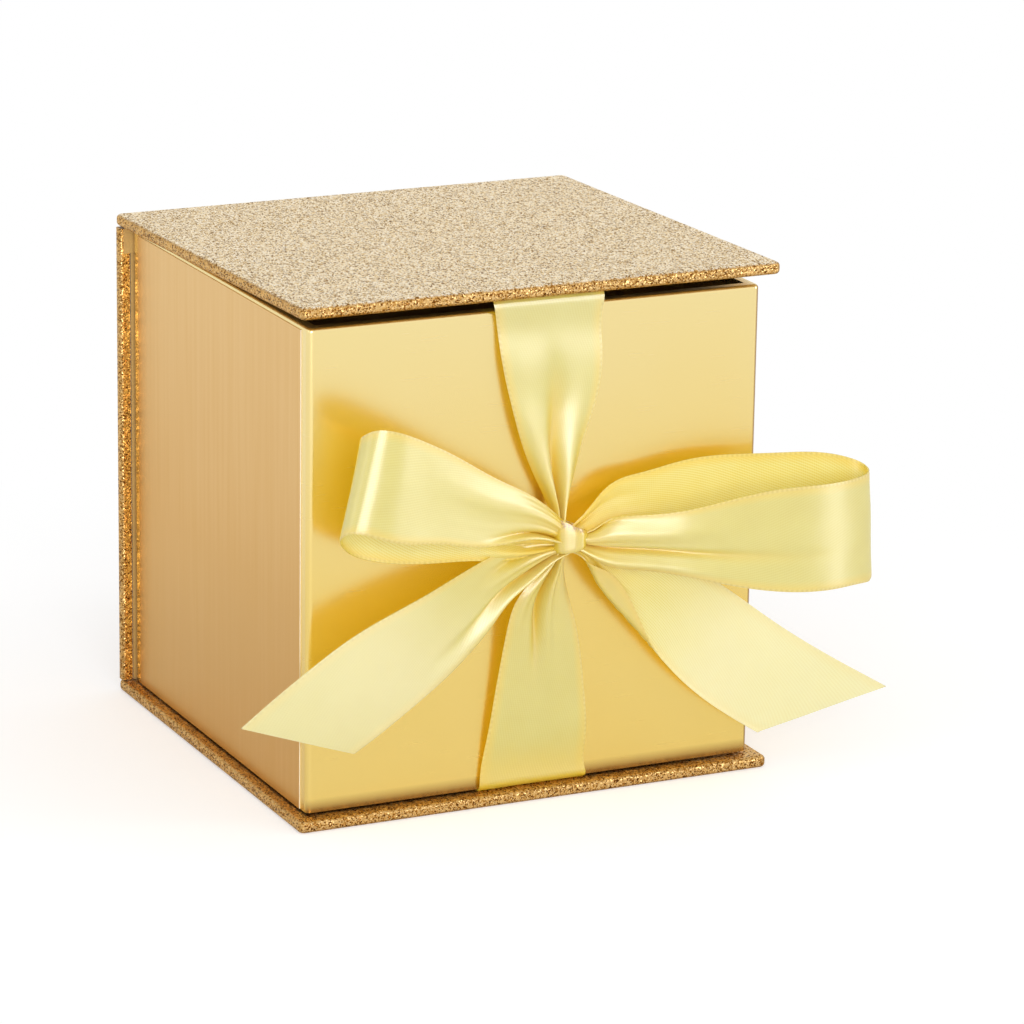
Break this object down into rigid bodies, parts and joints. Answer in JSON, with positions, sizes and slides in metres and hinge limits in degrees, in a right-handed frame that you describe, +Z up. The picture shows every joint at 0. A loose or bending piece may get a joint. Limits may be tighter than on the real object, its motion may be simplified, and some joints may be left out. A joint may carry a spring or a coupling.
{
  "type": "favor box",
  "caption": "Book-style favor box: a hinged glitter-paper case round a foil-covered tray, held shut by a satin ribbon tied in a bow on the front.",
  "frame": {"origin": "centre of the base's underside", "axes": "+Z up, -Y out of the front that carries the bow, +X to the right seen from the front"},
  "size_m": [0.1519, 0.1204, 0.1115],
  "materials": {
    "chipboard": "matte grey board",
    "glitter_paper": "fine champagne glitter",
    "liner_paper": "plain gold paper",
    "foil_paper": "smooth gold foil",
    "stay_paper": "kraft tape",
    "adhesive": "matte adhesive sheet",
    "satin": "pale yellow satin"
  },
  "bodies": {
    "box": {"base_board": "chipboard", "spine_board": "chipboard", "tray_floor": "chipboard", "tray_front_wall": "chipboard", "tray_back_wall": "chipboard", "tray_left_wall": "chipboard", "tray_right_wall": "chipboard", "base_wrap": "glitter_paper", "spine_wrap": "glitter_paper", "spine_liner": "liner_paper", "hinge_liner": "liner_paper", "tray_wall_liner": "liner_paper", "tray_floor_liner": "liner_paper", "tray_wrap": "foil_paper", "tray_left_panel": "foil_paper", "tray_right_panel": "foil_paper", "tray_corner_stays": "stay_paper", "base_glue_sheet": "adhesive", "spine_glue_sheet": "adhesive", "lower_ribbon": "satin", "bow_knot": "satin", "bow_left_loop": "satin", "bow_right_loop": "satin", "bow_left_tail": "satin", "bow_right_tail": "satin"},
    "lid": {"lid_board": "chipboard", "lid_wrap": "glitter_paper", "lid_liner": "liner_paper", "upper_ribbon_anchor": "satin"},
    "ribbon": {"upper_ribbon": "satin"}
  },
  "joints": [
    {"name": "lid_hinge", "type": "hinge", "parent": "box", "child": "lid", "pos_m": [0, 0.052, 0.1064], "axis": [-1, 0, 0], "range_deg": [0, 120]},
    {"name": "ribbon_bend", "type": "hinge", "parent": "lid", "child": "ribbon", "pos_m": [0.0018, -0.04928, 0.1083], "axis": [-1, 0, 0], "range_deg": [-60, 0]}
  ],
  "couplings": [
    {"joint": "ribbon_bend", "follows": "lid_hinge", "ratio": -0.5}
  ]
}
